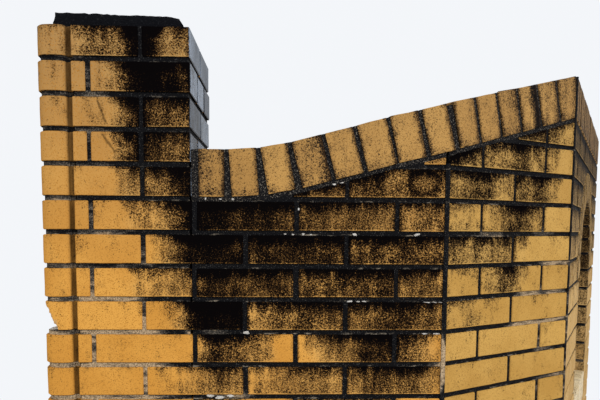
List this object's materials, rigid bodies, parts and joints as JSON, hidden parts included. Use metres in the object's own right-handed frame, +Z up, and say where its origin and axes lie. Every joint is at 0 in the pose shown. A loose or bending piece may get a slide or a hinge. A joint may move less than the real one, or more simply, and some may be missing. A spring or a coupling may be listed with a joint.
{
  "type": "brick garden wall with pier and arched opening",
  "caption": "Free-standing garden wall of yellow brick: a pier with a moulded corner, a low run ramping up round two bends, and a side run with an arched opening and sill.",
  "frame": {"origin": "middle of the pier's base, on the ground", "axes": "+X along the front run away from the pier, +Y into the wall away from the viewer, +Z up"},
  "size_m": [2.1652, 1.5429, 2.034],
  "materials": {
    "pier_brick": "rough fired yellow brick, soot-stained",
    "wall_brick": "rough fired yellow brick, soot-stained",
    "side_brick": "rough fired yellow brick, weathered pale",
    "arch_brick": "rough fired yellow brick",
    "sill_brick": "pale fired brick on edge",
    "coping_brick": "weathered yellow brick on edge",
    "joint_mortar": "recessed cement mortar, blackened in places",
    "cap_mortar": "weathered black mortar slab"
  },
  "bodies": {
    "root": {"arch_joints": "joint_mortar", "arch_ring": "arch_brick", "bend_joint": "joint_mortar", "corner_joint": "joint_mortar", "crown_course": "side_brick", "far_jamb": "side_brick", "far_shoulder": "side_brick", "far_spandrel_high": "side_brick", "far_spandrel_low": "side_brick", "front_bedding": "joint_mortar", "front_coping_1": "coping_brick", "front_coping_2": "coping_brick", "front_coping_3": "coping_brick", "front_coping_4": "coping_brick", "front_coping_5": "coping_brick", "front_coping_6": "coping_brick", "front_coping_7": "coping_brick", "front_coping_8": "coping_brick", "front_coping_joints": "joint_mortar", "front_wall": "wall_brick", "near_jamb": "side_brick", "near_shoulder": "side_brick", "near_spandrel_high": "side_brick", "near_spandrel_low": "side_brick", "pier_brickwork": "pier_brick", "pier_cap": "cap_mortar", "pier_corner_moulding": "pier_brick", "side_bedding": "joint_mortar", "side_coping_far": "coping_brick", "side_coping_joints": "joint_mortar", "side_coping_middle": "coping_brick", "side_coping_near": "coping_brick", "sill_bedding": "joint_mortar", "sill_brick_row": "sill_brick", "sill_joints": "joint_mortar", "splay_bedding": "joint_mortar", "splay_coping_1": "coping_brick", "splay_coping_2": "coping_brick", "splay_coping_3": "coping_brick", "splay_coping_4": "coping_brick", "splay_coping_5": "coping_brick", "splay_coping_6": "coping_brick", "splay_coping_joints": "joint_mortar", "splay_wall": "wall_brick", "under_sill_wall": "side_brick"}
  },
  "joints": []
}
